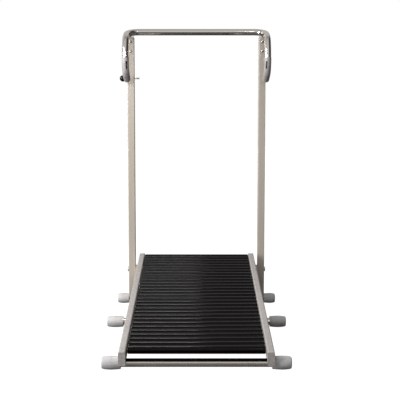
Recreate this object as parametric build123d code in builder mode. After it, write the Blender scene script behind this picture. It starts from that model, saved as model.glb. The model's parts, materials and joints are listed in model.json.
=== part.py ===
from build123d import *

import math
import os

# Roller walker: a sloping deck of free rollers hinged between two square posts, with a
# hooked handlebar and a spring-loaded pin that locks the folded deck.
# Millimetres.  X runs across, Y from the low front end to the posts, Z is up.
# The origin is the centre of the footprint, on the floor.

# ---- driving dimensions: standing frame ----------------------------------------------
TUBE_R = 12.5  # cross tubes and handlebar
TUBE_WALL = 1.5
TUBE_Z = 20.0  # height of the three cross tubes
REAR_Y = 453.5  # rear cross tube and posts
MIDDLE_Y = 56.5
FRONT_Y = -448.5

POST_SIZE = 27.0
POST_X = 258.5  # centre of each post
POST_TOP = 1059.0
POST_CORNER_R = 2.0

STRUT_X = 236.5  # centre of each strut
STRUT_WIDTH = 15.0
STRUT_R = 17.0  # half the depth of a strut, and the radius of its ends
STRUT_WALL = 1.5

FOOT_R = 20.5  # over the bead round the middle of a foot cap
FOOT_END_WALL = 4.0
FOOT_BEAD_WIDTH = 2.4
FOOT_BEAD_HEIGHT = 0.3
FOOT_OUTER_X = 317.0  # middle and rear feet
MIDDLE_FOOT_INNER_X = 260.0
FRONT_FOOT_INNER_X = 222.0
FRONT_FOOT_OUTER_X = 278.5

# ---- driving dimensions: handlebar ------------------------------------------------------
HANDLE_Z = 1081.0  # centre of the crossbar
HANDLE_X = 271.0  # plane of each side loop
# Forward reach from the posts and height of each corner of a side loop, from the
# crossbar to the tip of the grip, and the bend radius at every corner but the last.
LOOP_CORNERS = ((0, HANDLE_Z), (95, 1050), (124, 985), (106, 921), (40, 896))
LOOP_RADII = (45, 50, 100, 55)
GRIP_R = 13.6
GRIP_TOP_Z = 972.0
GRIP_END = 6.0  # length of the closed tip past the tube
GRIP_RECESS = (4.0, 2.0, 28.0)  # width, depth and height of the block that cuts it
GRIP_RECESS_Z = 943.0
GRIP_RECESS_OFFSET = 5.0  # towards the middle of the object
SPIGOT_SIZE = 23.6
SPIGOT_BOTTOM = 985.0
SPIGOT_TOP = HANDLE_Z - 8.0
HANDLE_BOLT_HEIGHTS = (1042.0, 1005.5)
HANDLE_BOLT_R = 3.0
HANDLE_BOLT_HEAD = 3.2
HANDLE_BOLT_HEAD_R = 5.6

# ---- driving dimensions: deck --------------------------------------------------------------
DECK_ANGLE = 9.9  # slope of the roller deck, degrees
ROLLER_COUNT = 29
ROLLER_PITCH = 30.0
ROLLER_R = 12.5
ROLLER_LENGTH = 410.0
ROLLER_WALL = 2.0
ROLLER_BUSH_LENGTH = 12.0
ROLLER_FLANGE = 1.5
FIRST_ROLLER_Y = -403.5
FIRST_ROLLER_Z = 46.0
AXLE_R = 4.0
AXLE_HALF_LENGTH = 212.0

RAIL_ANGLE = 9.3  # slope of the rails: the rollers rise to their top edges at the rear
RAIL_INNER_X = 206.5
RAIL_WIDTH = 21.0
RAIL_WALL = 2.0
RAIL_FRONT_WALL = 3.0
RAIL_CORNER_R = 4.5
RAIL_ABOVE = 18.2  # from the middle roller axis to the top of a rail
RAIL_BELOW = 21.8
RAIL_REAR_REACH = 10.0  # length of rail past the last roller
PLUG_CAP = 4.0
PLUG_ROUND = 3.0
PLUG_DEPTH = 5.0

STRETCHER_DEPTH = 6.0
STRETCHER_WIDTH = 28.0
STRETCHER_PLACES = (9.5, 19.5)  # along the deck, in roller pitches

# ---- driving dimensions: deck pivot ------------------------------------------------------------
PIVOT_Z = 139.0
PIVOT_R = 5.0
PIVOT_HEAD = 5.0
PIVOT_HEAD_R = 9.0
PIVOT_HEAD_ROUND = 2.5
NUT_R = 8.5  # across the corners
NUT_THICKNESS = 6.0
WASHER_R = 10.0
BUSH_R = 8.0
LUG_INNER_X = 219.0
LUG_OUTER_X = 227.0
LUG_R = 15.0
LUG_FRONT_Y = 398.0  # ends of the lug's weld under the rail
LUG_REAR_Y = 434.0
SIDE_GAP = 0.15  # between the lug and the washer beside it

# ---- driving dimensions: lock pin -----------------------------------------------------------------
LOCK_Z = 901.0
LOCK_PIN_R = 3.0
LOCK_TIP_X = -224.5
LOCK_KNOB_X = -291.0
LOCK_KNOB_R = 12.5
LOCK_COLLAR_R = 5.5
LOCK_COLLAR = 2.0
LOCK_BUSH_R = 6.0
LOCK_BUSH_FLANGE_R = 8.5
LOCK_BUSH_REACH = 4.0  # how far the guide bush stands out of the post
LOCK_BUSH_INSET = 1.0  # how far it reaches past the wall inside
SPRING_WIRE_R = 0.5
SPRING_COIL_R = 4.2
SPRING_TURNS = 6
FOLDED_ANGLE = 95.2  # turn of the deck at which its front feet meet the posts
LOCK_HOLE_PLAY = 0.5

FIT = 0.05  # radial clearance of shafts in holes

# ---- worked-out sizes -----------------------------------------------------------------------------
HALF_LENGTH = REAR_Y + FOOT_R
RAIL_OUTER_X = RAIL_INNER_X + RAIL_WIDTH
POST_INNER_X = POST_X - POST_SIZE / 2
POST_OUTER_X = POST_X + POST_SIZE / 2
POST_BORE = POST_SIZE - 2 * TUBE_WALL
POST_FRONT_Y = REAR_Y - POST_SIZE / 2
SLOPE = math.radians(DECK_ANGLE)
LAST_AXLE = (ROLLER_COUNT - 1) * ROLLER_PITCH
DECK_START = Vector(0, FIRST_ROLLER_Y, FIRST_ROLLER_Z)
DECK_ALONG = Vector(0, math.cos(SLOPE), math.sin(SLOPE))
RAIL_SLOPE = math.radians(RAIL_ANGLE)
RAIL_MIDDLE = DECK_START + DECK_ALONG * (LAST_AXLE / 2)
RAIL_ALONG = Vector(0, math.cos(RAIL_SLOPE), math.sin(RAIL_SLOPE))
RAIL_END = LAST_AXLE / 2 + RAIL_REAR_REACH
# On this plane a point is (distance along the rails from the middle roller, distance above it).
RAIL_PLANE = Plane(origin=RAIL_MIDDLE, x_dir=RAIL_ALONG, z_dir=(1, 0, 0))
NUT_END_X = LUG_INNER_X - 0.4
CUTTER = 2 * FOOT_OUTER_X  # comfortably larger than anything it cuts


# ---- helpers ------------------------------------------------------------------------------------------
def save(builder, name):
    """Label a finished piece and write it to its own file."""
    builder.part.label = name
    export_step(builder.part, f"parts/{name}.step")


def rod_x(radius, x_start, x_end, y, z, mode=Mode.ADD):
    """A round bar along X."""
    with Locations(Location(((x_start + x_end) / 2, y, z), (0, 90, 0))):
        Cylinder(radius, abs(x_end - x_start), mode=mode)


def rod_y(radius, y_start, y_end, x, z, mode=Mode.ADD):
    """A round bar along Y."""
    with Locations(Location((x, (y_start + y_end) / 2, z), (90, 0, 0))):
        Cylinder(radius, abs(y_end - y_start), mode=mode)


def block(size, centre, mode=Mode.ADD):
    """A rectangular block about a centre."""
    with Locations(centre):
        Box(*size, mode=mode)


def axle_centres():
    """The (y, z) place of every roller axle, front to rear."""
    for index in range(ROLLER_COUNT):
        centre = DECK_START + DECK_ALONG * (index * ROLLER_PITCH)
        yield centre.Y, centre.Z


def height_on_rail(y, above):
    """Height, at y, of the line parallel to the rails at a distance above the middle roller axis."""
    return RAIL_MIDDLE.Z + (y - RAIL_MIDDLE.Y) * math.tan(RAIL_SLOPE) + above / math.cos(RAIL_SLOPE)


def place_with_deck_down(y, z):
    """Where a point of the folded deck at (y, z) lies when the deck is down."""
    turn = math.radians(FOLDED_ANGLE)
    from_y = y - REAR_Y
    from_z = z - PIVOT_Z
    down_y = REAR_Y + from_y * math.cos(turn) - from_z * math.sin(turn)
    down_z = PIVOT_Z + from_y * math.sin(turn) + from_z * math.cos(turn)
    return down_y, down_z


# ---- cross tubes and feet ----------------------------------------------------------------------------
def build_cross_tube(name, y, foot_outer_x):
    """A round tube that reaches the end wall of the foot at each side."""
    end = foot_outer_x - FOOT_END_WALL
    with BuildPart() as tube:
        rod_x(TUBE_R, -end, end, y, TUBE_Z)
        rod_x(TUBE_R - TUBE_WALL, -end, end, y, TUBE_Z, Mode.SUBTRACT)
    save(tube, name)


def build_feet(name, y, inner_x, outer_x):
    """A pair of moulded caps: barrelled sleeves with a bead round the middle, flat underneath."""
    middle_x = (inner_x + outer_x) / 2
    bead_start = middle_x - FOOT_BEAD_WIDTH / 2
    bead_end = middle_x + FOOT_BEAD_WIDTH / 2
    bore_end = outer_x - FOOT_END_WALL
    bore_r = TUBE_R + FIT
    waist_r = FOOT_R - FOOT_BEAD_HEIGHT
    shoulder_x = outer_x - 4.0
    shoulder_r = FOOT_R - 2.4
    end_r = FOOT_R - 7.0
    with BuildPart() as feet:
        for side in (-1, 1):
            section = Plane(origin=(0, y, TUBE_Z), x_dir=(side, 0, 0), z_dir=(0, 0, 1))
            with BuildSketch(section) as profile:
                with BuildLine():
                    inner_third = (inner_x + bead_start) / 2
                    outer_third = (bead_end + shoulder_x) / 2
                    Line((inner_x, bore_r), (inner_x, FOOT_R - 2.2))
                    ThreePointArc((inner_x, FOOT_R - 2.2), (inner_third, FOOT_R - 0.9), (bead_start, waist_r))
                    Polyline((bead_start, waist_r), (bead_start, FOOT_R), (bead_end, FOOT_R), (bead_end, waist_r))
                    ThreePointArc((bead_end, waist_r), (outer_third, FOOT_R - 0.8), (shoulder_x, shoulder_r))
                    ThreePointArc((shoulder_x, shoulder_r), (outer_x - 1.3, FOOT_R - 3.9), (outer_x, end_r))
                    Polyline((outer_x, end_r), (outer_x, 0), (bore_end, 0), (bore_end, bore_r), (inner_x, bore_r))
                make_face()
            revolve(profile.sketch, axis=Axis((0, y, TUBE_Z), (1, 0, 0)))
        block((CUTTER, 4 * FOOT_R, FOOT_R), (0, y, -FOOT_R / 2), Mode.SUBTRACT)
    save(feet, name)


# ---- posts and struts ------------------------------------------------------------------------------------
def build_post(name, side):
    """A square tube coped onto the rear cross tube, open at the top for the spigot."""
    x = side * POST_X
    across = (x - POST_SIZE, x + POST_SIZE)
    length = POST_TOP - TUBE_Z
    centre = (x, REAR_Y, TUBE_Z + length / 2)
    with BuildPart() as post:
        block((POST_SIZE, POST_SIZE, length), centre)
        fillet(post.edges().filter_by(Axis.Z), POST_CORNER_R)
        block((POST_BORE, POST_BORE, length), centre, Mode.SUBTRACT)
        rod_x(TUBE_R, *across, REAR_Y, TUBE_Z, Mode.SUBTRACT)
        rod_x(PIVOT_R + FIT, *across, REAR_Y, PIVOT_Z, Mode.SUBTRACT)
        for height in HANDLE_BOLT_HEIGHTS:
            rod_y(HANDLE_BOLT_R + FIT, POST_FRONT_Y - 1, REAR_Y, x, height, Mode.SUBTRACT)
        if side < 0:
            rod_x(LOCK_PIN_R + FIT, x, x + POST_SIZE, REAR_Y, LOCK_Z, Mode.SUBTRACT)
            rod_x(LOCK_BUSH_R, x - POST_SIZE, x, REAR_Y, LOCK_Z, Mode.SUBTRACT)
    save(post, name)


def build_strut(name, side):
    """A flat tube with round ends, from the pivot bolt down to the middle cross tube."""
    inner = side * STRUT_X - STRUT_WIDTH / 2
    run_y = REAR_Y - MIDDLE_Y
    run_z = PIVOT_Z - TUBE_Z
    length = math.hypot(run_y, run_z)
    tilt = math.degrees(math.atan2(run_z, run_y))
    middle = Location(((REAR_Y + MIDDLE_Y) / 2, (PIVOT_Z + TUBE_Z) / 2), tilt)
    with BuildPart() as strut:
        with BuildSketch(Plane.YZ.offset(inner)):
            with Locations(middle):
                SlotCenterToCenter(length, 2 * STRUT_R)
        extrude(amount=STRUT_WIDTH)
        with BuildSketch(Plane.YZ.offset(inner + STRUT_WALL)):
            with Locations(middle):
                SlotCenterToCenter(length, 2 * (STRUT_R - STRUT_WALL))
        extrude(amount=STRUT_WIDTH - 2 * STRUT_WALL, mode=Mode.SUBTRACT)
        rod_x(TUBE_R, inner, inner + STRUT_WIDTH, MIDDLE_Y, TUBE_Z, Mode.SUBTRACT)
        rod_x(PIVOT_R + FIT, inner, inner + STRUT_WIDTH, REAR_Y, PIVOT_Z, Mode.SUBTRACT)
    save(strut, name)


# ---- handlebar ------------------------------------------------------------------------------------------
def loop_point(side, forward, z):
    """A point of one side loop, measured forward from the posts."""
    return (side * HANDLE_X, REAR_Y - forward, z)


def bent_bar(points, radii, radius):
    """A solid round bar bent through the points; made for use by other builders."""
    with BuildPart(mode=Mode.PRIVATE) as bar:
        with BuildLine() as route:
            FilletPolyline(*points, radius=radii)
        with BuildSketch(Plane(origin=route.line @ 0, z_dir=route.line % 0)):
            Circle(radius)
        sweep(path=route.line)
    return bar.part


def handlebar_bar(radius):
    """The whole handlebar, crossbar and both side loops, as a solid bar."""
    left = [loop_point(-1, forward, z) for forward, z in reversed(LOOP_CORNERS)]
    right = [loop_point(1, forward, z) for forward, z in LOOP_CORNERS]
    return bent_bar(left + right, LOOP_RADII[::-1] + LOOP_RADII, radius)


def build_handlebar():
    """One bent tube."""
    with BuildPart() as handlebar:
        add(handlebar_bar(TUBE_R))
        add(handlebar_bar(TUBE_R - TUBE_WALL), mode=Mode.SUBTRACT)
    save(handlebar, "handlebar")


def grip_recess_centre(side):
    """Centre of the recess in the front of a grip, on the loop's lower straight."""
    (reach_a, z_a), (reach_b, z_b) = LOOP_CORNERS[2], LOOP_CORNERS[3]
    share = (z_a - GRIP_RECESS_Z) / (z_a - z_b)
    reach = reach_a + share * (reach_b - reach_a)
    return (side * (HANDLE_X - GRIP_RECESS_OFFSET), REAR_Y - reach - GRIP_R, GRIP_RECESS_Z)


def build_grip(name, side):
    """A moulded sleeve over the lower end of a loop, closed and rounded at its tip."""
    points = [Vector(*loop_point(side, forward, z)) for forward, z in LOOP_CORNERS[1:]]
    tip = points[-1]
    heading = (tip - points[-2]).normalized()
    trim_height = HANDLE_Z - GRIP_TOP_Z
    trim_centre = (side * HANDLE_X, REAR_Y - LOOP_CORNERS[2][0], GRIP_TOP_Z + trim_height / 2)
    with BuildPart() as grip:
        add(bent_bar(points, LOOP_RADII[2:], GRIP_R))
        with BuildSketch(Plane(origin=tip, z_dir=heading)) as end:
            Circle(GRIP_R)
        extrude(end.sketch, amount=GRIP_END)
        rims = grip.edges().filter_by(GeomType.CIRCLE)
        fillet(rims.sort_by_distance(tip + heading * GRIP_END)[0], GRIP_END - 1)
        add(bent_bar(points, LOOP_RADII[2:], TUBE_R + FIT), mode=Mode.SUBTRACT)
        block((4 * GRIP_R, 8 * GRIP_R, trim_height), trim_centre, Mode.SUBTRACT)
        block(GRIP_RECESS, grip_recess_centre(side), Mode.SUBTRACT)
    save(grip, name)


def build_spigots():
    """Square stubs welded under the crossbar, one in the top of each post."""
    height = SPIGOT_TOP - SPIGOT_BOTTOM
    with BuildPart() as spigots:
        for side in (-1, 1):
            x = side * POST_X
            block((SPIGOT_SIZE, SPIGOT_SIZE, height), (x, REAR_Y, SPIGOT_BOTTOM + height / 2))
            for bolt_z in HANDLE_BOLT_HEIGHTS:
                rod_y(HANDLE_BOLT_R, REAR_Y - SPIGOT_SIZE, REAR_Y, x, bolt_z, Mode.SUBTRACT)
        add(handlebar_bar(TUBE_R), mode=Mode.SUBTRACT)
    save(spigots, "handlebar_spigots")


def build_handlebar_bolts():
    """Domed bolts through the front face of each post into its spigot."""
    head, head_r = HANDLE_BOLT_HEAD, HANDLE_BOLT_HEAD_R
    shank = POST_SIZE / 2 - 1
    with BuildPart() as bolts:
        for side in (-1, 1):
            for z in HANDLE_BOLT_HEIGHTS:
                seat = Vector(side * POST_X, POST_FRONT_Y, z)
                with BuildSketch(Plane(origin=seat, x_dir=(1, 0, 0), z_dir=(0, 0, 1))) as section:
                    with BuildLine():
                        ThreePointArc((0, -head), (head_r * 0.66, -head * 0.72), (head_r, 0))
                        Polyline((head_r, 0), (HANDLE_BOLT_R, 0), (HANDLE_BOLT_R, shank), (0, shank), (0, -head))
                    make_face()
                revolve(section.sketch, axis=Axis(seat, (0, 1, 0)))
    save(bolts, "handlebar_bolts")


# ---- deck pivot ------------------------------------------------------------------------------------------
def build_pivot_bolts():
    """One bolt each side, through post, strut and hinge lug."""
    inner_end = NUT_END_X - NUT_THICKNESS - 2
    head_end = POST_OUTER_X + PIVOT_HEAD
    with BuildPart() as bolts:
        for side in (-1, 1):
            rod_x(PIVOT_R, side * inner_end, side * POST_OUTER_X, REAR_Y, PIVOT_Z)
            rod_x(PIVOT_HEAD_R, side * POST_OUTER_X, side * head_end, REAR_Y, PIVOT_Z)
        for end in (0, -1):
            fillet(bolts.edges().filter_by(GeomType.CIRCLE).sort_by(Axis.X)[end], PIVOT_HEAD_ROUND)
    save(bolts, "pivot_bolts")


def build_pivot_nuts():
    """Hexagon nuts on the inner ends of the pivot bolts."""
    with BuildPart() as nuts:
        for side in (-1, 1):
            origin = (side * (NUT_END_X - NUT_THICKNESS), REAR_Y, PIVOT_Z)
            with BuildSketch(Plane(origin=origin, x_dir=(0, 1, 0), z_dir=(side, 0, 0))) as section:
                RegularPolygon(NUT_R, 6)
                Circle(PIVOT_R, mode=Mode.SUBTRACT)
            extrude(section.sketch, amount=NUT_THICKNESS)
    save(nuts, "pivot_nuts")


def build_pivot_washers():
    """Thrust washers between each hinge lug and its strut."""
    with BuildPart() as washers:
        for side in (-1, 1):
            ends = (side * (LUG_OUTER_X + SIDE_GAP), side * (STRUT_X - STRUT_WIDTH / 2))
            rod_x(WASHER_R, *ends, REAR_Y, PIVOT_Z)
            rod_x(PIVOT_R + FIT, *ends, REAR_Y, PIVOT_Z, Mode.SUBTRACT)
    save(washers, "pivot_washers")


def build_hinge_lugs():
    """Plates welded under the rails that carry the deck on the pivot bolts."""
    with BuildPart() as lugs:
        for side in (-1, 1):
            start = min(side * LUG_INNER_X, side * LUG_OUTER_X)
            with BuildSketch(Plane.YZ.offset(start)) as plate:
                with BuildLine():
                    Polyline(
                        (REAR_Y - LUG_R, PIVOT_Z),
                        (LUG_FRONT_Y, height_on_rail(LUG_FRONT_Y, -RAIL_BELOW)),
                        (LUG_REAR_Y, height_on_rail(LUG_REAR_Y, -RAIL_BELOW)),
                        (REAR_Y + LUG_R, PIVOT_Z),
                        (REAR_Y - LUG_R, PIVOT_Z),
                    )
                make_face()
                with Locations((REAR_Y, PIVOT_Z)):
                    Circle(LUG_R)
                    Circle(BUSH_R, mode=Mode.SUBTRACT)
            extrude(plate.sketch, amount=LUG_OUTER_X - LUG_INNER_X)
    save(lugs, "hinge_lugs")


def build_pivot_bushes():
    """Nylon bushes pressed into the hinge lugs, running on the pivot bolts."""
    with BuildPart() as bushes:
        for side in (-1, 1):
            ends = (side * LUG_INNER_X, side * LUG_OUTER_X)
            rod_x(BUSH_R, *ends, REAR_Y, PIVOT_Z)
            rod_x(PIVOT_R + FIT, *ends, REAR_Y, PIVOT_Z, Mode.SUBTRACT)
    save(bushes, "pivot_bushes")


# ---- deck ------------------------------------------------------------------------------------------------
def rail_section(inset):
    """Corners of a rail's side outline, moved inwards by the inset but for its open rear end."""
    front = -HALF_LENGTH + (RAIL_FRONT_WALL if inset else 0)
    rear_top = RAIL_PLANE.from_local_coords(Vector(RAIL_END + inset, RAIL_ABOVE - inset))
    rear_bottom = RAIL_PLANE.from_local_coords(Vector(RAIL_END + inset, inset - RAIL_BELOW))
    return (
        (front, height_on_rail(front, inset - RAIL_BELOW)),
        (front, height_on_rail(front, RAIL_ABOVE - inset)),
        (rear_top.Y, rear_top.Z),
        (rear_bottom.Y, rear_bottom.Z),
    )


def build_rail(name, side):
    """A rectangular tube with a closed front end, notched over the front cross tube."""
    inner, outer = side * RAIL_INNER_X, side * RAIL_OUTER_X
    start = min(inner, outer)
    lock_y, lock_z = place_with_deck_down(REAR_Y, LOCK_Z)
    with BuildPart() as rail:
        with BuildSketch(Plane.YZ.offset(start)) as outline:
            Polygon(*rail_section(0), align=None)
        extrude(outline.sketch, amount=RAIL_WIDTH)
        fillet(rail.edges().filter_by(lambda edge: edge.length > LAST_AXLE), RAIL_CORNER_R)
        with BuildSketch(Plane.YZ.offset(start + RAIL_WALL)) as cavity:
            Polygon(*rail_section(RAIL_WALL), align=None)
        extrude(cavity.sketch, amount=RAIL_WIDTH - 2 * RAIL_WALL, mode=Mode.SUBTRACT)
        rod_x(TUBE_R, inner, outer, FRONT_Y, TUBE_Z, Mode.SUBTRACT)
        rod_x(FOOT_R + FIT, side * FRONT_FOOT_INNER_X, outer, FRONT_Y, TUBE_Z, Mode.SUBTRACT)
        for y, z in axle_centres():
            rod_x(AXLE_R + FIT, inner, inner + side * RAIL_WALL, y, z, Mode.SUBTRACT)
        if side < 0:
            wall = (outer - side * RAIL_WALL, outer)
            rod_x(LOCK_PIN_R + LOCK_HOLE_PLAY, *wall, lock_y, lock_z, Mode.SUBTRACT)
    save(rail, name)


def build_rail_end_plugs():
    """Moulded plugs with rounded caps that close the rear ends of both rails."""
    middle = (RAIL_ABOVE - RAIL_BELOW) / 2
    depth = RAIL_ABOVE + RAIL_BELOW
    wall = 2 * (RAIL_WALL + FIT)
    with BuildPart() as plugs:
        for side in (-1, 1):
            x = side * (RAIL_INNER_X + RAIL_WIDTH / 2)
            with Locations(Plane(origin=RAIL_MIDDLE + Vector(x, 0, 0), x_dir=RAIL_ALONG, z_dir=(1, 0, 0))):
                block((PLUG_CAP, depth, RAIL_WIDTH), (RAIL_END + PLUG_CAP / 2, middle, 0))
                block((PLUG_DEPTH, depth - wall, RAIL_WIDTH - wall), (RAIL_END - PLUG_DEPTH / 2, middle, 0))
        cap_faces = plugs.faces().filter_by(Axis(RAIL_MIDDLE, RAIL_ALONG)).sort_by(Axis.Y)[-2:]
        fillet(cap_faces.edges(), PLUG_ROUND)
    save(plugs, "rail_end_plugs")


def build_stretchers():
    """Flat bars welded between the rails under the rollers."""
    with BuildPart() as stretchers:
        with Locations(RAIL_PLANE):
            for place in STRETCHER_PLACES:
                along = place * ROLLER_PITCH - LAST_AXLE / 2
                centre = (along, STRETCHER_DEPTH / 2 - RAIL_BELOW, 0)
                block((STRETCHER_WIDTH, STRETCHER_DEPTH, 2 * RAIL_INNER_X), centre)
    save(stretchers, "deck_stretchers")


# ---- rollers ------------------------------------------------------------------------------------------------
def build_axles():
    """Fixed steel axles, held by their ends in the inner walls of the rails."""
    with BuildPart() as axles:
        for y, z in axle_centres():
            rod_x(AXLE_R, -AXLE_HALF_LENGTH, AXLE_HALF_LENGTH, y, z)
    save(axles, "roller_axles")


def build_roller(name, y, z):
    """A plastic sleeve with a flanged bush in each end, free to turn on its axle."""
    half = ROLLER_LENGTH / 2 - ROLLER_FLANGE
    flange_end = half + ROLLER_FLANGE
    bush_start = half - ROLLER_BUSH_LENGTH
    sleeve_bore = ROLLER_R - ROLLER_WALL
    with BuildPart() as sleeve:
        rod_x(ROLLER_R, -half, half, y, z)
        rod_x(sleeve_bore, -half, half, y, z, Mode.SUBTRACT)
    with BuildPart() as bushes:
        for side in (-1, 1):
            rod_x(sleeve_bore - FIT, side * bush_start, side * half, y, z)
            rod_x(ROLLER_R - 1, side * half, side * flange_end, y, z)
            rod_x(AXLE_R + FIT, side * bush_start, side * flange_end, y, z, Mode.SUBTRACT)
    roller = Compound(children=[*sleeve.part.solids(), *bushes.part.solids()])
    roller.label = name
    export_step(roller, f"parts/{name}.step")


# ---- lock pin ------------------------------------------------------------------------------------------------
def build_lock_guide_bush():
    """Flanged guide bush of the lock pin, through the outer wall of the left post."""
    outer_end = -POST_OUTER_X - LOCK_BUSH_REACH
    inner_end = -POST_OUTER_X + TUBE_WALL + LOCK_BUSH_INSET
    with BuildPart() as bush:
        rod_x(LOCK_BUSH_R, outer_end, inner_end, REAR_Y, LOCK_Z)
        rod_x(LOCK_BUSH_FLANGE_R, outer_end, -POST_OUTER_X, REAR_Y, LOCK_Z)
        rod_x(LOCK_PIN_R + FIT, outer_end, inner_end, REAR_Y, LOCK_Z, Mode.SUBTRACT)
    save(bush, "lock_guide_bush")


def build_lock_pin():
    """Steel pin with a collar that stops against the inner wall of the post."""
    collar_end = -POST_INNER_X - TUBE_WALL
    with BuildPart() as pin:
        rod_x(LOCK_PIN_R, LOCK_KNOB_X, LOCK_TIP_X, REAR_Y, LOCK_Z)
        rod_x(LOCK_COLLAR_R, collar_end - LOCK_COLLAR, collar_end, REAR_Y, LOCK_Z)
        chamfer(pin.edges().filter_by(GeomType.CIRCLE).sort_by(Axis.X)[-1], 1.0)
    save(pin, "lock_pin")


def build_lock_knob():
    """Ball knob on the outer end of the pin, faced off where it meets the guide bush."""
    flat_x = -POST_OUTER_X - LOCK_BUSH_REACH - 0.6
    knob_size = 2 * LOCK_KNOB_R
    with BuildPart() as knob:
        with Locations((LOCK_KNOB_X, REAR_Y, LOCK_Z)):
            Sphere(LOCK_KNOB_R)
        rod_x(LOCK_PIN_R, LOCK_KNOB_X, flat_x, REAR_Y, LOCK_Z, Mode.SUBTRACT)
        block((knob_size,) * 3, (flat_x + LOCK_KNOB_R, REAR_Y, LOCK_Z), Mode.SUBTRACT)
    save(knob, "lock_knob")


def build_lock_spring():
    """Compression spring round the pin, between the guide bush and the pin's collar."""
    clearance = SPRING_WIRE_R + 0.1
    start_x = -POST_OUTER_X + TUBE_WALL + LOCK_BUSH_INSET + clearance
    end_x = -POST_INNER_X - TUBE_WALL - LOCK_COLLAR - clearance
    length = end_x - start_x
    with BuildPart() as spring:
        with BuildLine() as coil:
            Helix(
                pitch=length / SPRING_TURNS,
                height=length,
                radius=SPRING_COIL_R,
                center=(start_x, REAR_Y, LOCK_Z),
                direction=(1, 0, 0),
            )
        with BuildSketch(Plane(origin=coil.line @ 0, z_dir=coil.line % 0)):
            Circle(SPRING_WIRE_R)
        sweep(path=coil.line, is_frenet=True)
    save(spring, "lock_spring")


# ---- the whole object --------------------------------------------------------------------------------------
def main():
    os.makedirs("parts", exist_ok=True)
    build_cross_tube("rear_cross_tube", REAR_Y, FOOT_OUTER_X)
    build_cross_tube("middle_cross_tube", MIDDLE_Y, FOOT_OUTER_X)
    build_cross_tube("front_cross_tube", FRONT_Y, FRONT_FOOT_OUTER_X)
    build_feet("rear_feet", REAR_Y, POST_OUTER_X, FOOT_OUTER_X)
    build_feet("middle_feet", MIDDLE_Y, MIDDLE_FOOT_INNER_X, FOOT_OUTER_X)
    build_feet("front_feet", FRONT_Y, FRONT_FOOT_INNER_X, FRONT_FOOT_OUTER_X)
    for side_name, side in (("left", -1), ("right", 1)):
        build_post(f"{side_name}_post", side)
        build_strut(f"{side_name}_strut", side)
        build_rail(f"{side_name}_rail", side)
        build_grip(f"{side_name}_grip", side)
    build_handlebar()
    build_spigots()
    build_handlebar_bolts()
    build_pivot_bolts()
    build_pivot_nuts()
    build_pivot_washers()
    build_hinge_lugs()
    build_pivot_bushes()
    build_rail_end_plugs()
    build_stretchers()
    build_axles()
    for number, (y, z) in enumerate(axle_centres(), start=1):
        build_roller(f"roller_{number:02d}", y, z)
    build_lock_guide_bush()
    build_lock_pin()
    build_lock_knob()
    build_lock_spring()


main()
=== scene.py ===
import json
import math

import bpy
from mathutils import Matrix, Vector


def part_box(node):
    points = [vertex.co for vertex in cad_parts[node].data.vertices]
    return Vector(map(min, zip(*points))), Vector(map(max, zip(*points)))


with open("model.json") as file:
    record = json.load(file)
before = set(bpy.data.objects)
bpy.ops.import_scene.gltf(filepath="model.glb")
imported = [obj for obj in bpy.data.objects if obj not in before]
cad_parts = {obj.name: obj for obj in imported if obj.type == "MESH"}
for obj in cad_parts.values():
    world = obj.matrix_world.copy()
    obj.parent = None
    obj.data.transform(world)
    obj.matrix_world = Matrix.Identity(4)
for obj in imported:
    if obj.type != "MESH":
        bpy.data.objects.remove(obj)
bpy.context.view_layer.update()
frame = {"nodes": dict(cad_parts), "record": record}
NODES = frame["nodes"]


# ---- places read from the frame --------------------------------------------------------
STRIP_SHARE = 0.42  # where the strip on the front tube begins, from the tube's middle (0) to its top (1)
STRIP_FEATHER = 0.0008
TUBE_LOW, TUBE_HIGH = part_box("front_cross_tube")
TUBE_MIDDLE = (TUBE_LOW[2] + TUBE_HIGH[2]) / 2
STRIP_EDGE = TUBE_MIDDLE + STRIP_SHARE * (TUBE_HIGH[2] - TUBE_MIDDLE)

SLOT_INWARD = 0.005  # from the grip's middle towards the middle of the object
SLOT_BELOW_TOP = 0.029
SLOT_HALF_WIDTH = 0.0028
SLOT_HALF_HEIGHT = 0.0145
SLOT_REACH = 0.012  # how far back from the grip's front the slot's painted shade may reach
GRIP_LOW, GRIP_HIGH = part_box("right_grip")
SLOT_X = (GRIP_LOW[0] + GRIP_HIGH[0]) / 2 - SLOT_INWARD
SLOT_Z = GRIP_HIGH[2] - SLOT_BELOW_TOP
SLOT_BACK_Y = GRIP_LOW[1] + SLOT_REACH


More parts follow.
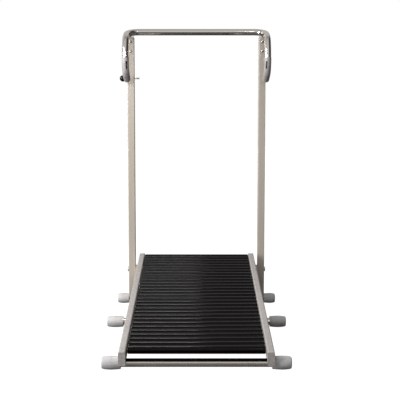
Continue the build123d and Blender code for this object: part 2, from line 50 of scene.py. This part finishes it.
# ---- material building -------------------------------------------------------------
class Finish:
    """One procedural material, built up node by node from a principled surface."""

    def __init__(self, name, color, metallic=0.0, roughness=0.5, **inputs):
        self.material = bpy.data.materials.new(name)
        self.material.use_nodes = True
        self.nodes = self.material.node_tree.nodes
        self.links = self.material.node_tree.links
        self.surface = self.nodes["Principled BSDF"]
        self.set("Base Color", (*color, 1.0))
        self.set("Metallic", metallic)
        self.set("Roughness", roughness)
        for key, value in inputs.items():
            self.set(key.replace("_", " "), value)
        self.height = None

    def set(self, socket, value):
        self.surface.inputs[socket].default_value = value

    def feed(self, socket, output):
        self.links.new(output, self.surface.inputs[socket])

    def coordinates(self, stretch=(1, 1, 1)):
        """Object coordinates, squeezed along each axis by the stretch."""
        source = self.nodes.new("ShaderNodeTexCoord")
        mapping = self.nodes.new("ShaderNodeMapping")
        mapping.inputs["Scale"].default_value = stretch
        self.links.new(source.outputs["Object"], mapping.inputs["Vector"])
        return mapping.outputs["Vector"]

    def noise(self, scale, detail=4.0, roughness=0.6, stretch=(1, 1, 1)):
        node = self.nodes.new("ShaderNodeTexNoise")
        node.inputs["Scale"].default_value = scale
        node.inputs["Detail"].default_value = detail
        node.inputs["Roughness"].default_value = roughness
        self.links.new(self.coordinates(stretch), node.inputs["Vector"])
        return node.outputs["Fac"]

    def cells(self, scale, stretch=(1, 1, 1), feature="F1"):
        node = self.nodes.new("ShaderNodeTexVoronoi")
        node.feature = feature
        node.inputs["Scale"].default_value = scale
        self.links.new(self.coordinates(stretch), node.inputs["Vector"])
        return node.outputs["Distance"]

    def ramp(self, value, *stops):
        """A grey ramp; each stop is (position, brightness)."""
        node = self.nodes.new("ShaderNodeValToRGB")
        elements = node.color_ramp.elements
        while len(elements) < len(stops):
            elements.new(0.5)
        for element, (place, level) in zip(elements, stops):
            element.position = place
            element.color = (level, level, level, 1.0)
        self.links.new(value, node.inputs["Fac"])
        return node.outputs["Color"]

    def scaled(self, value, low, high):
        node = self.nodes.new("ShaderNodeMapRange")
        node.inputs["To Min"].default_value = low
        node.inputs["To Max"].default_value = high
        self.links.new(value, node.inputs["Value"])
        return node.outputs["Result"]

    def blend(self, share, first, second, mode="MIX"):
        """A colour mix; first and second are colours or outputs."""
        node = self.nodes.new("ShaderNodeMix")
        node.data_type = "RGBA"
        node.blend_type = mode
        self.attach(share, node.inputs["Factor"])
        self.attach(first, node.inputs["A"])
        self.attach(second, node.inputs["B"])
        return node.outputs["Result"]

    def attach(self, value, socket):
        if isinstance(value, bpy.types.NodeSocket):
            self.links.new(value, socket)
        elif isinstance(value, tuple) and len(value) == 3:
            socket.default_value = (*value, 1.0)
        else:
            socket.default_value = value

    def combine(self, operation, first, second):
        node = self.nodes.new("ShaderNodeMath")
        node.operation = operation
        self.attach(first, node.inputs[0])
        self.attach(second, node.inputs[1])
        return node.outputs["Value"]

    def bump(self, height, strength, distance):
        """Adds relief; later calls stack on earlier ones."""
        node = self.nodes.new("ShaderNodeBump")
        node.inputs["Strength"].default_value = strength
        node.inputs["Distance"].default_value = distance
        self.links.new(height, node.inputs["Height"])
        if self.height is not None:
            self.links.new(self.height, node.inputs["Normal"])
        self.height = node.outputs["Normal"]
        self.feed("Normal", self.height)


def champagne_paint():
    """Metallic champagne paint on the square tubes, with faint draw lines and rubbed patches."""
    finish = Finish("champagne_paint", (0.46, 0.42, 0.37), metallic=0.25, roughness=0.40, Coat_Weight=0.15)
    patches = finish.ramp(finish.noise(9.0, 5, stretch=(1, 1, 0.25)), (0.38, 0.0), (0.72, 1.0))
    flake = finish.ramp(finish.noise(2600.0, 2), (0.45, 0.0), (0.70, 1.0))
    warm = finish.blend(patches, (0.45, 0.40, 0.345), (0.51, 0.465, 0.41))
    finish.feed("Base Color", finish.blend(finish.scaled(flake, 0.0, 0.22), warm, (0.72, 0.68, 0.61)))
    finish.feed("Roughness", finish.scaled(finish.noise(60.0, 5, stretch=(1, 1, 0.15)), 0.32, 0.50))
    finish.bump(finish.noise(900.0, 3, stretch=(1, 1, 0.08)), 0.08, 0.0003)
    finish.bump(finish.noise(260.0, 2), 0.05, 0.0005)
    return finish.material


def hammered_silver():
    """Speckled silver powder coat of the deck frame: small soft dimples, dark pits and bright flakes."""
    finish = Finish("hammered_silver", (0.60, 0.565, 0.545), metallic=0.3, roughness=0.42)
    speckle = finish.ramp(finish.noise(1500.0, 3, 0.7), (0.44, 0.0), (0.62, 1.0))
    mottle = finish.ramp(finish.noise(200.0, 4, 0.75), (0.40, 0.0), (0.62, 1.0))
    tone = finish.blend(finish.noise(28.0, 5), (0.34, 0.318, 0.312), (0.42, 0.398, 0.392))
    tone = finish.blend(finish.scaled(mottle, 0.0, 0.60), tone, (0.72, 0.695, 0.68))
    finish.feed("Base Color", finish.blend(finish.scaled(speckle, 0.0, 0.45), tone, (0.30, 0.275, 0.26)))
    finish.feed("Roughness", finish.scaled(speckle, 0.34, 0.55))
    finish.bump(finish.cells(420.0, feature="SMOOTH_F1"), 0.35, 0.0006)
    finish.bump(finish.noise(1100.0, 2), 0.12, 0.0003)
    return finish.material


def chrome():
    """Bright plating with faint polishing haze and a few dull spots."""
    finish = Finish("chrome", (0.86, 0.815, 0.78), metallic=1.0, roughness=0.06)
    haze = finish.noise(35.0, 6, 0.65)
    spots = finish.ramp(finish.noise(240.0, 4, 0.7), (0.64, 0.0), (0.76, 1.0))
    dullness = finish.scaled(spots, 0, 0.06)
    finish.feed("Roughness", finish.combine("ADD", finish.scaled(haze, 0.08, 0.14), dullness))
    finish.feed("Base Color", finish.blend(spots, (0.86, 0.815, 0.78), (0.74, 0.71, 0.67)))
    return finish.material


def drawn_steel(name):
    """Drawn steel tube, polished, with very fine rings across its length and a faint warm stain."""
    finish = Finish(name, (0.62, 0.575, 0.53), metallic=1.0, roughness=0.26)
    rings = finish.noise(2200.0, 3, stretch=(1, 0.02, 0.02))
    stain = finish.noise(14.0, 5, 0.6)
    dullness = finish.scaled(stain, -0.02, 0.06)
    finish.feed("Roughness", finish.combine("ADD", finish.scaled(rings, 0.20, 0.28), dullness))
    finish.feed("Base Color", finish.blend(stain, (0.64, 0.59, 0.545), (0.72, 0.675, 0.63)))
    finish.bump(rings, 0.03, 0.0001)
    return finish


def bright_steel():
    return drawn_steel("bright_steel").material


def front_tube_steel():
    """The front tube's steel, painted black, matt and non-metallic along its top above a set height."""
    finish = drawn_steel("front_tube_steel")
    height = finish.nodes.new("ShaderNodeSeparateXYZ")
    finish.links.new(finish.coordinates(), height.inputs["Vector"])
    strip = finish.nodes.new("ShaderNodeMapRange")
    strip.inputs["From Min"].default_value = STRIP_EDGE
    strip.inputs["From Max"].default_value = STRIP_EDGE + STRIP_FEATHER
    finish.links.new(height.outputs["Z"], strip.inputs["Value"])
    share = strip.outputs["Result"]
    bare = finish.surface.inputs["Base Color"].links[0].from_socket
    # above STRIP_EDGE the tube's colour is set to near-black
    finish.feed("Base Color", finish.blend(share, bare, (0.003, 0.003, 0.003)))
    finish.feed("Metallic", finish.scaled(share, 1.0, 0.0))
    finish.feed("Specular IOR Level", finish.scaled(share, 0.5, 0.0))
    return finish.material


def zinc_fasteners():
    """Zinc plate with a patchy grey bloom."""
    finish = Finish("zinc_fasteners", (0.56, 0.55, 0.52), metallic=1.0, roughness=0.3)
    bloom = finish.noise(420.0, 5, 0.7)
    finish.feed("Roughness", finish.scaled(bloom, 0.18, 0.46))
    finish.feed("Base Color", finish.blend(bloom, (0.46, 0.45, 0.42), (0.66, 0.65, 0.63)))
    finish.bump(finish.noise(1400.0, 3), 0.10, 0.0002)
    return finish.material


def foot_plastic():
    """Off-white moulded caps: fine grain, scuffed and a little dirty near the floor."""
    finish = Finish("foot_plastic", (0.52, 0.51, 0.52), roughness=0.5, Subsurface_Weight=0.04)
    grime = finish.ramp(finish.noise(90.0, 6, 0.7), (0.48, 0.0), (0.74, 1.0))
    tone = finish.blend(finish.noise(24.0, 4), (0.49, 0.48, 0.488), (0.56, 0.55, 0.558))
    finish.feed("Base Color", finish.blend(finish.scaled(grime, 0.0, 0.22), tone, (0.30, 0.285, 0.27)))
    finish.feed("Roughness", finish.scaled(finish.noise(300.0, 4), 0.40, 0.60))
    finish.bump(finish.noise(1900.0, 2), 0.16, 0.0003)
    finish.bump(finish.noise(160.0, 4, stretch=(0.1, 1, 1)), 0.06, 0.0004)
    return finish.material


def grip_plastic():
    """Grey moulded grips with a fine leather-like grain, rubbed smoother, and painted shade in the slot at
    the front.
    """
    finish = Finish("grip_plastic", (0.42, 0.395, 0.405), roughness=0.45)
    grain = finish.cells(900.0)
    rubbed = finish.ramp(finish.noise(45.0, 4), (0.42, 0.0), (0.66, 1.0))
    tone = finish.blend(rubbed, (0.46, 0.435, 0.44), (0.39, 0.365, 0.37))
    place = finish.nodes.new("ShaderNodeSeparateXYZ")
    finish.links.new(finish.coordinates(), place.inputs["Vector"])
    sideways = finish.combine("ABSOLUTE", place.outputs["X"], 0.0)
    slot = finish.combine("COMPARE", sideways, SLOT_X)
    slot.node.inputs[2].default_value = SLOT_HALF_WIDTH
    upright = finish.combine("COMPARE", place.outputs["Z"], SLOT_Z)
    upright.node.inputs[2].default_value = SLOT_HALF_HEIGHT
    front = finish.combine("LESS_THAN", place.outputs["Y"], SLOT_BACK_Y)
    slot_shade_mask = finish.combine("MULTIPLY", finish.combine("MULTIPLY", slot, upright), front)
    # the slot at the front of each grip is painted near-black: painted shade in its recess
    finish.feed("Base Color", finish.blend(slot_shade_mask, tone, (0.012, 0.010, 0.010)))
    finish.feed("Roughness", finish.scaled(rubbed, 0.50, 0.30))
    finish.bump(grain, 0.28, 0.0004)
    return finish.material


def black_plastic():
    finish = Finish("black_plastic", (0.004, 0.004, 0.005), roughness=0.28, Specular_IOR_Level=0.25)
    finish.feed("Roughness", finish.scaled(finish.noise(160.0, 5), 0.18, 0.42))
    tone = finish.blend(finish.noise(60.0, 4), (0.003, 0.003, 0.0035), (0.008, 0.0075, 0.0075))
    finish.feed("Base Color", tone)
    finish.bump(finish.noise(1300.0, 3), 0.08, 0.0002)
    return finish.material


def bush_nylon():
    finish = Finish("bush_nylon", (0.72, 0.70, 0.65), roughness=0.4, Subsurface_Weight=0.05)
    finish.feed("Roughness", finish.scaled(finish.noise(200.0, 4), 0.3, 0.5))
    finish.bump(finish.noise(1500.0, 2), 0.08, 0.0002)
    return finish.material


def roller_plastic():
    """Black extruded sleeves: fine turning lines, faint scuffs and a little grey dust rubbed in."""
    finish = Finish("roller_plastic", (0.002, 0.0012, 0.0016), roughness=0.15, Specular_IOR_Level=0.18)
    scuffs = finish.ramp(finish.noise(150.0, 5, 0.7, stretch=(0.10, 1, 1)), (0.58, 0.0), (0.80, 1.0))
    dust = finish.ramp(finish.noise(9.0, 6, 0.65), (0.42, 0.0), (0.80, 1.0))
    tone = finish.blend(dust, (0.0013, 0.0006, 0.0010), (0.0028, 0.0017, 0.0022))
    finish.feed("Base Color", finish.blend(finish.scaled(scuffs, 0.0, 0.3), tone, (0.018, 0.016, 0.017)))
    dullness = finish.scaled(scuffs, 0, 0.08)
    finish.feed("Roughness", finish.combine("ADD", finish.scaled(dust, 0.13, 0.20), dullness))
    finish.bump(finish.noise(2600.0, 2, stretch=(1, 0.02, 0.02)), 0.02, 0.0001)
    return finish.material


MATERIALS = {
    "champagne_paint": champagne_paint(),
    "hammered_silver": hammered_silver(),
    "chrome": chrome(),
    "bright_steel": bright_steel(),
    "front_tube_steel": front_tube_steel(),
    "zinc_fasteners": zinc_fasteners(),
    "foot_plastic": foot_plastic(),
    "grip_plastic": grip_plastic(),
    "black_plastic": black_plastic(),
    "bush_nylon": bush_nylon(),
    "roller_plastic": roller_plastic(),
}


def dress_cad_nodes():
    """Gives every CAD node the finish of its own slot, and the front tube its strip."""
    for part in frame["record"]["subparts"]:
        name = "front_tube_steel" if part["node"] == "front_cross_tube" else part["material_slot"]
        mesh = NODES[part["node"]].data
        mesh.materials.clear()
        mesh.materials.append(MATERIALS[name])


# ---- stage ---------------------------------------------------------------------------
FLOOR_SIZE = 60.0
FLOOR_PAINT = 0.16  # how pale the floor is as the object sees it

# The room as the object sees it.  Each stop is (direction from -1 to 1, brightness).
# ROOM_DEPTH goes from the viewer's side to the far side.
ROOM_DEPTH = ((-1.0, 0.62), (-0.5, 0.50), (0.0, 0.28), (0.35, 0.50), (1.0, 0.50))
ROOM_ACROSS = ((-1.0, 1.4), (-0.3, 1.0), (0.35, 1.0), (0.72, 0.10), (1.0, 0.14))  # from left to right
ROOM_TINT = (1.0, 0.98, 0.96, 1.0)

# Each light is (place, point that it faces, width and height, power in watts).
LIGHTS = {
    "window": ((-2.3, -1.2, 1.35), (0, 0, 0.75), (0.7, 2.2), 98),
    "deck_strip": ((-0.19, -0.15, 1.04), (-0.19, -0.15, 0.1), (0.40, 0.09), 3.2),
    "small_window": ((0.54, -2.5, 1.9), (0.2, 0.4, 1.0), (0.2, 0.4), 2),
}

CAMERA_LENS = 72.0
CAMERA_SENSOR = 36.0
CAMERA_BACK = 2.7405  # distance in front of the footprint's centre
CAMERA_HEIGHT = 0.701
CAMERA_PITCH = 5.06
CAMERA_SHIFT = 0.00875


def build_floor():
    """A flat white floor: it glows white to the viewer and is a plain grey surface to the object."""
    half = FLOOR_SIZE / 2
    corners = [(-half, -half, 0), (half, -half, 0), (half, half, 0), (-half, half, 0)]
    mesh = bpy.data.meshes.new("floor")
    mesh.from_pydata(corners, [], [(0, 1, 2, 3)])
    floor = bpy.data.objects.new("floor", mesh)
    bpy.context.scene.collection.objects.link(floor)
    material = bpy.data.materials.new("floor_white")
    material.use_nodes = True
    nodes, links = material.node_tree.nodes, material.node_tree.links
    surface = nodes["Principled BSDF"]
    surface.inputs["Base Color"].default_value = (FLOOR_PAINT, FLOOR_PAINT, FLOOR_PAINT, 1.0)
    surface.inputs["Roughness"].default_value = 0.9
    surface.inputs["Specular IOR Level"].default_value = 0.0
    surface.inputs["Emission Color"].default_value = (1.0, 1.0, 1.0, 1.0)
    ray = nodes.new("ShaderNodeLightPath")
    links.new(ray.outputs["Is Camera Ray"], surface.inputs["Emission Strength"])
    mesh.materials.append(material)


def room_level(nodes, links, direction, stops):
    """Brightness along one axis of the view direction."""
    place = nodes.new("ShaderNodeMapRange")
    place.inputs["From Min"].default_value = -1.0
    links.new(direction, place.inputs["Value"])
    level = nodes.new("ShaderNodeValToRGB")
    while len(level.color_ramp.elements) < len(stops):
        level.color_ramp.elements.new(0.5)
    for element, (along, brightness) in zip(level.color_ramp.elements, stops):
        element.position = (along + 1) / 2
        element.color = (brightness, brightness, brightness, 1.0)
    links.new(place.outputs["Result"], level.inputs["Fac"])
    return level.outputs["Color"]


def build_world():
    """White to the viewer; to the object, a warm grey room, pale behind it and dark on the right."""
    world = bpy.data.worlds.new("studio")
    bpy.context.scene.world = world
    world.use_nodes = True
    nodes, links = world.node_tree.nodes, world.node_tree.links
    white = nodes["Background"]
    white.inputs["Color"].default_value = (1, 1, 1, 1)
    white.inputs["Strength"].default_value = 1.0
    room = nodes.new("ShaderNodeBackground")
    room.inputs["Color"].default_value = ROOM_TINT
    direction = nodes.new("ShaderNodeTexCoord")
    split = nodes.new("ShaderNodeSeparateXYZ")
    links.new(direction.outputs["Generated"], split.inputs["Vector"])
    level = nodes.new("ShaderNodeMath")
    level.operation = "MULTIPLY"
    links.new(room_level(nodes, links, split.outputs["Y"], ROOM_DEPTH), level.inputs[0])
    links.new(room_level(nodes, links, split.outputs["X"], ROOM_ACROSS), level.inputs[1])
    links.new(level.outputs["Value"], room.inputs["Strength"])
    ray = nodes.new("ShaderNodeLightPath")
    mix = nodes.new("ShaderNodeMixShader")
    links.new(ray.outputs["Is Camera Ray"], mix.inputs["Fac"])
    links.new(room.outputs["Background"], mix.inputs[1])
    links.new(white.outputs["Background"], mix.inputs[2])
    links.new(mix.outputs["Shader"], nodes["World Output"].inputs["Surface"])


def area_light(name, place, aim, size, power, tint=(1.0, 0.99, 0.97)):
    """A soft box of the given width and height, turned towards a point."""
    data = bpy.data.lights.new(name, "AREA")
    data.shape = "RECTANGLE"
    data.size, data.size_y = size
    data.energy = power
    data.color = tint
    lamp = bpy.data.objects.new(name, data)
    lamp.location = place
    lamp.rotation_euler = (Vector(aim) - Vector(place)).to_track_quat("-Z", "Y").to_euler()
    lamp.visible_camera = False
    bpy.context.scene.collection.objects.link(lamp)


def build_lights():
    """A tall window on the left, a strip low over the left of the deck, and a small window by the viewer."""
    for name, (place, aim, size, power) in LIGHTS.items():
        area_light(name, place, aim, size, power)


def build_camera():
    data = bpy.data.cameras.new("camera")
    data.lens = CAMERA_LENS
    data.sensor_width = CAMERA_SENSOR
    data.shift_x = CAMERA_SHIFT
    camera = bpy.data.objects.new("camera", data)
    camera.location = (0, -CAMERA_BACK, CAMERA_HEIGHT)
    camera.rotation_euler = (math.radians(90 - CAMERA_PITCH), 0, 0)
    bpy.context.scene.collection.objects.link(camera)
    bpy.context.scene.camera = camera


dress_cad_nodes()
build_floor()
build_world()
build_lights()
build_camera()
bpy.context.scene.view_settings.view_transform = "Standard"
